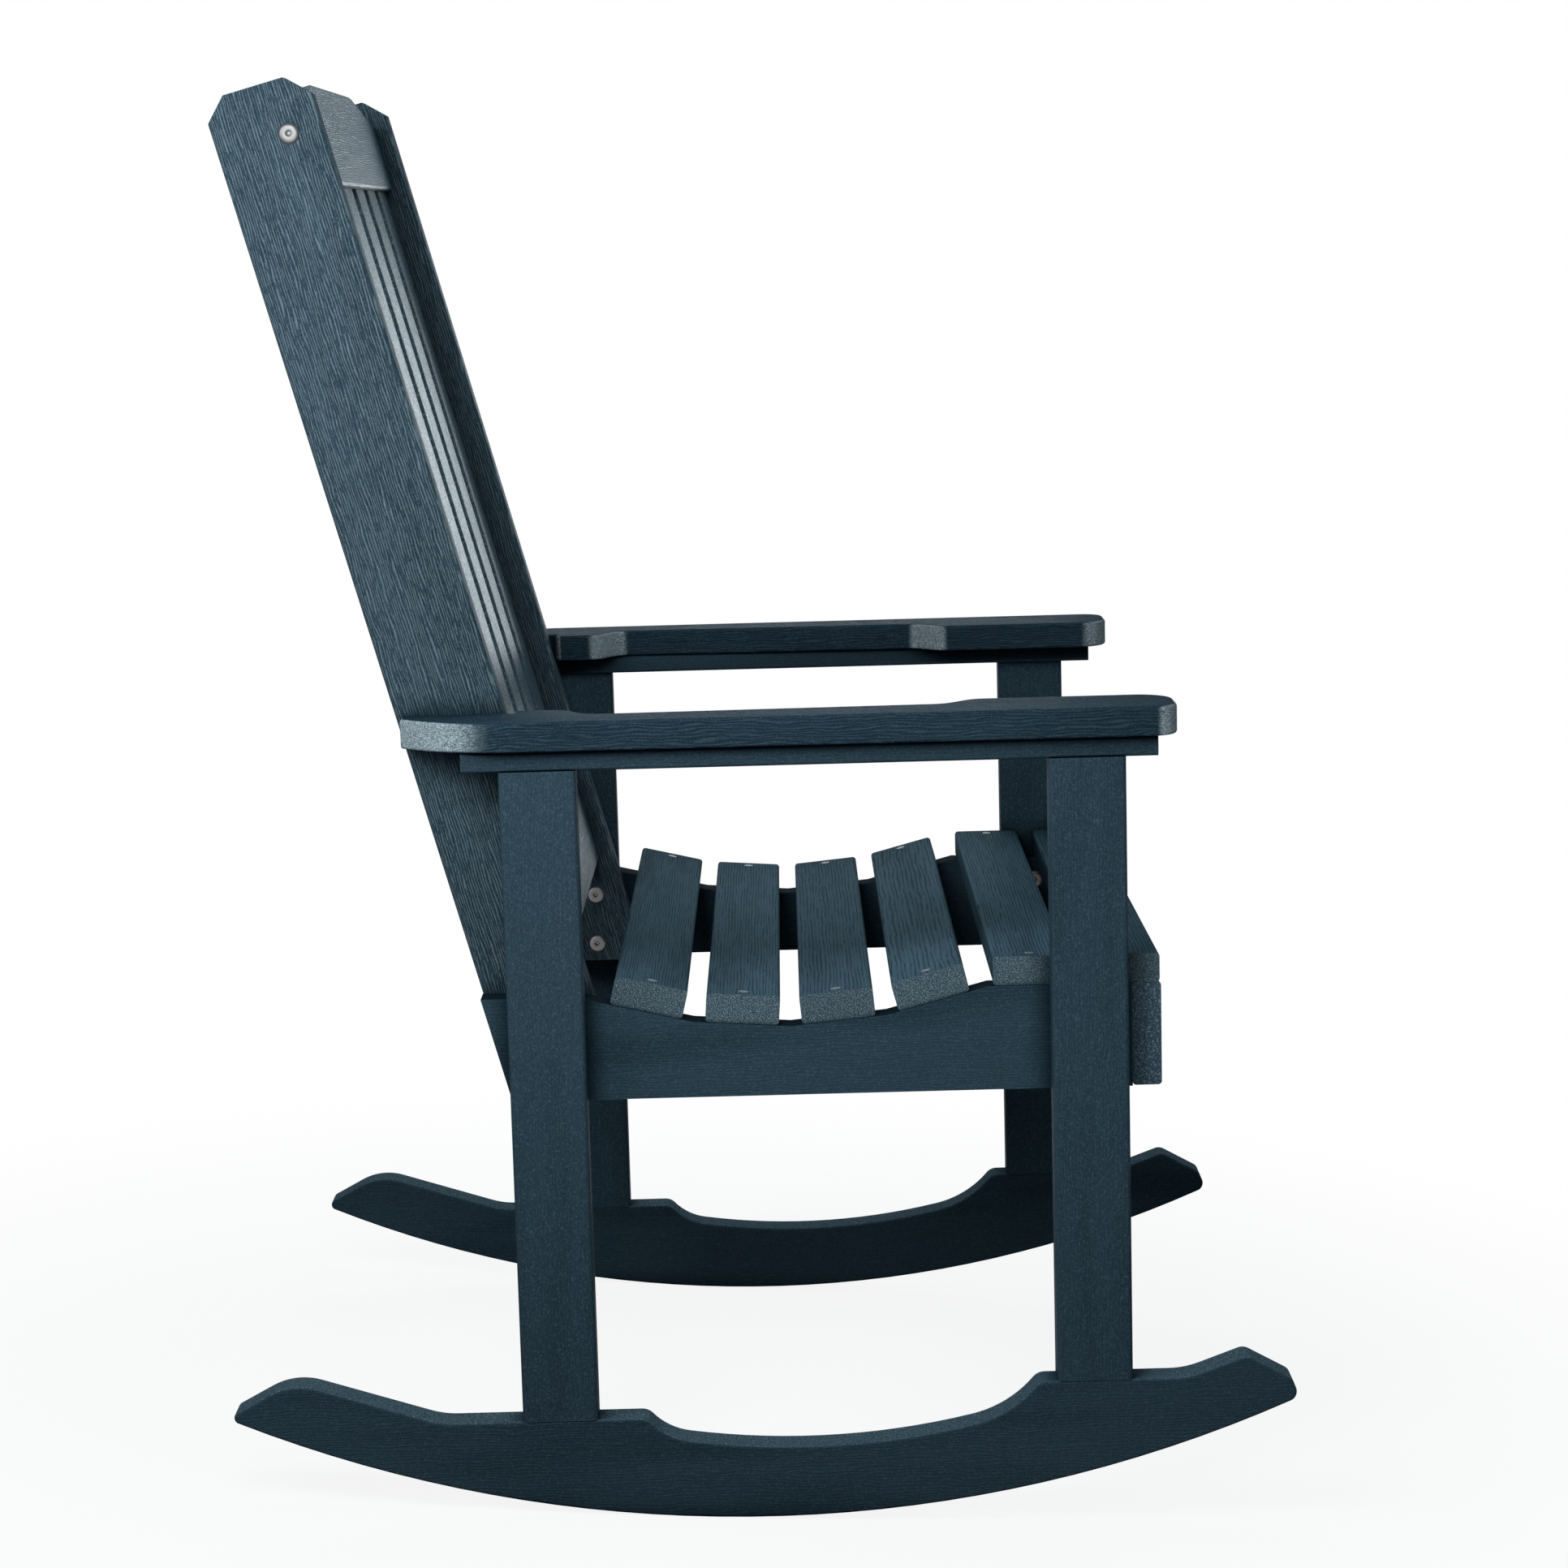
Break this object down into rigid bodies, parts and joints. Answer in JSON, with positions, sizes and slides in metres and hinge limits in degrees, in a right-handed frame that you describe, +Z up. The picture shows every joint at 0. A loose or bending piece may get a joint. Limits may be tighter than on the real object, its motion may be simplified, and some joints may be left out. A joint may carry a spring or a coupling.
{
  "type": "outdoor rocking chair",
  "caption": "Outdoor rocking chair of plastic lumber boards on curved runners, with a dished slat seat, a leaning slat back with a clipped head board, and flat waisted arms.",
  "frame": {"origin": "floor point midway between the runners, under the middle of their rolling arc, where the chair touches the floor when it balances", "axes": "+Z up, front of the chair towards -Y, +X to the sitter's left"},
  "size_m": [0.648, 0.8616, 1.1055],
  "materials": {
    "lumber": "matt, embossed wood grain, dark slate",
    "stainless": "plain stainless steel"
  },
  "bodies": {
    "root": {"runner_right": "lumber", "runner_left": "lumber", "rear_leg_right": "lumber", "rear_leg_left": "lumber", "front_leg_right": "lumber", "front_leg_left": "lumber", "arm_support_right": "lumber", "arm_support_left": "lumber", "arm_right": "lumber", "arm_left": "lumber", "seat_rail_right": "lumber", "seat_rail_left": "lumber", "seat_apron": "lumber", "seat_slat_1": "lumber", "seat_slat_2": "lumber", "seat_slat_3": "lumber", "seat_slat_4": "lumber", "seat_slat_5": "lumber", "seat_slat_6": "lumber", "back_stile_right": "lumber", "back_stile_left": "lumber", "head_board": "lumber", "lower_back_board": "lumber", "back_slat_1": "lumber", "back_slat_2": "lumber", "back_slat_3": "lumber", "back_slat_4": "lumber", "back_slat_5": "lumber", "back_slat_6": "lumber", "head_board_bolts": "stainless", "lower_board_bolts": "stainless", "rear_frame_bolts": "stainless", "front_frame_bolts": "stainless", "runner_bolts": "stainless", "leg_top_screws": "stainless", "arm_screws": "stainless", "apron_screws": "stainless", "seat_slat_screws": "stainless", "back_slat_screws": "stainless"}
  },
  "joints": []
}
